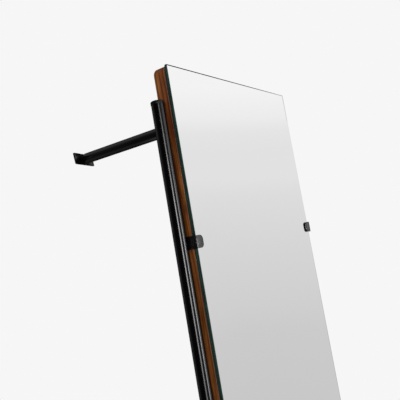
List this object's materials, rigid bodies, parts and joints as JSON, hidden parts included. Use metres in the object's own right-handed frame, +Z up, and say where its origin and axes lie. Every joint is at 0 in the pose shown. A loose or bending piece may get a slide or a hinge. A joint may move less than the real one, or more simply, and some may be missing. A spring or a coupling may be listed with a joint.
{
  "type": "leaner mirror",
  "caption": "Full-length frameless mirror on a walnut board, leaning back between round black steel posts, with wall struts ending in swivelling wall plates.",
  "frame": {"origin": "on the floor, under the middle of the whole part's width and depth", "axes": "+Z up; +X across the mirror to the right as its user sees it; the glass faces -Y and up, and the wall is at +Y"},
  "size_m": [0.5628, 0.5706, 1.6899],
  "materials": {
    "silvered_glass": "polished float glass, silvered behind",
    "safety_film": "thin grey film",
    "foam": "closed-cell foam tape",
    "walnut": "oiled walnut, satin",
    "black_steel": "satin black powder coat",
    "black_screw": "black painted screw",
    "zinc_steel": "zinc-plated steel",
    "bright_steel": "plain turned steel",
    "black_rubber": "matt black rubber",
    "black_plastic": "satin black plastic",
    "nylon": "natural nylon"
  },
  "bodies": {
    "frame": {"mirror_glass": "silvered_glass", "backing_film": "safety_film", "foam_tape": "foam", "backing_board": "walnut", "left_post": "black_steel", "right_post": "black_steel", "left_top_cap": "black_plastic", "right_top_cap": "black_plastic", "left_foot": "black_rubber", "right_foot": "black_rubber", "upper_rail": "black_steel", "middle_rail": "black_steel", "lower_rail": "black_steel", "rail_screws": "zinc_steel", "left_strut": "black_steel", "right_strut": "black_steel", "left_strut_plug": "zinc_steel", "right_strut_plug": "zinc_steel", "strut_studs": "zinc_steel", "rivet_nuts": "zinc_steel", "left_socket_plug": "black_steel", "right_socket_plug": "black_steel", "upper_left_clip": "black_steel", "upper_right_clip": "black_steel", "lower_left_clip": "black_steel", "lower_right_clip": "black_steel", "bottom_left_clip": "black_steel", "bottom_right_clip": "black_steel", "clip_pads": "black_rubber", "bottom_pads": "black_rubber", "clip_screws": "black_screw"},
    "left_cup": {"left_swivel_cup": "nylon"},
    "left_plate": {"left_ball_stud": "bright_steel", "left_wall_plate": "black_steel"},
    "right_cup": {"right_swivel_cup": "nylon"},
    "right_plate": {"right_ball_stud": "bright_steel", "right_wall_plate": "black_steel"}
  },
  "joints": [
    {"name": "left_plate_turn", "type": "hinge", "parent": "frame", "child": "left_cup", "pos_m": [-0.2477, 0.26556, 1.51596], "axis": [0, 0.2079, 0.9781], "range_deg": [-28.5, 3.5]},
    {"name": "left_plate_tilt", "type": "hinge", "parent": "left_cup", "child": "left_plate", "pos_m": [-0.2477, 0.26556, 1.51596], "axis": [0.9763, 0.2117, -0.045], "range_deg": [-9.5, 22.5]},
    {"name": "right_plate_turn", "type": "hinge", "parent": "frame", "child": "right_cup", "pos_m": [0.2477, 0.26556, 1.51596], "axis": [0, -0.2079, -0.9781], "range_deg": [-28.5, 3.5]},
    {"name": "right_plate_tilt", "type": "hinge", "parent": "right_cup", "child": "right_plate", "pos_m": [0.2477, 0.26556, 1.51596], "axis": [0.9763, -0.2117, 0.045], "range_deg": [-9.5, 22.5]}
  ]
}
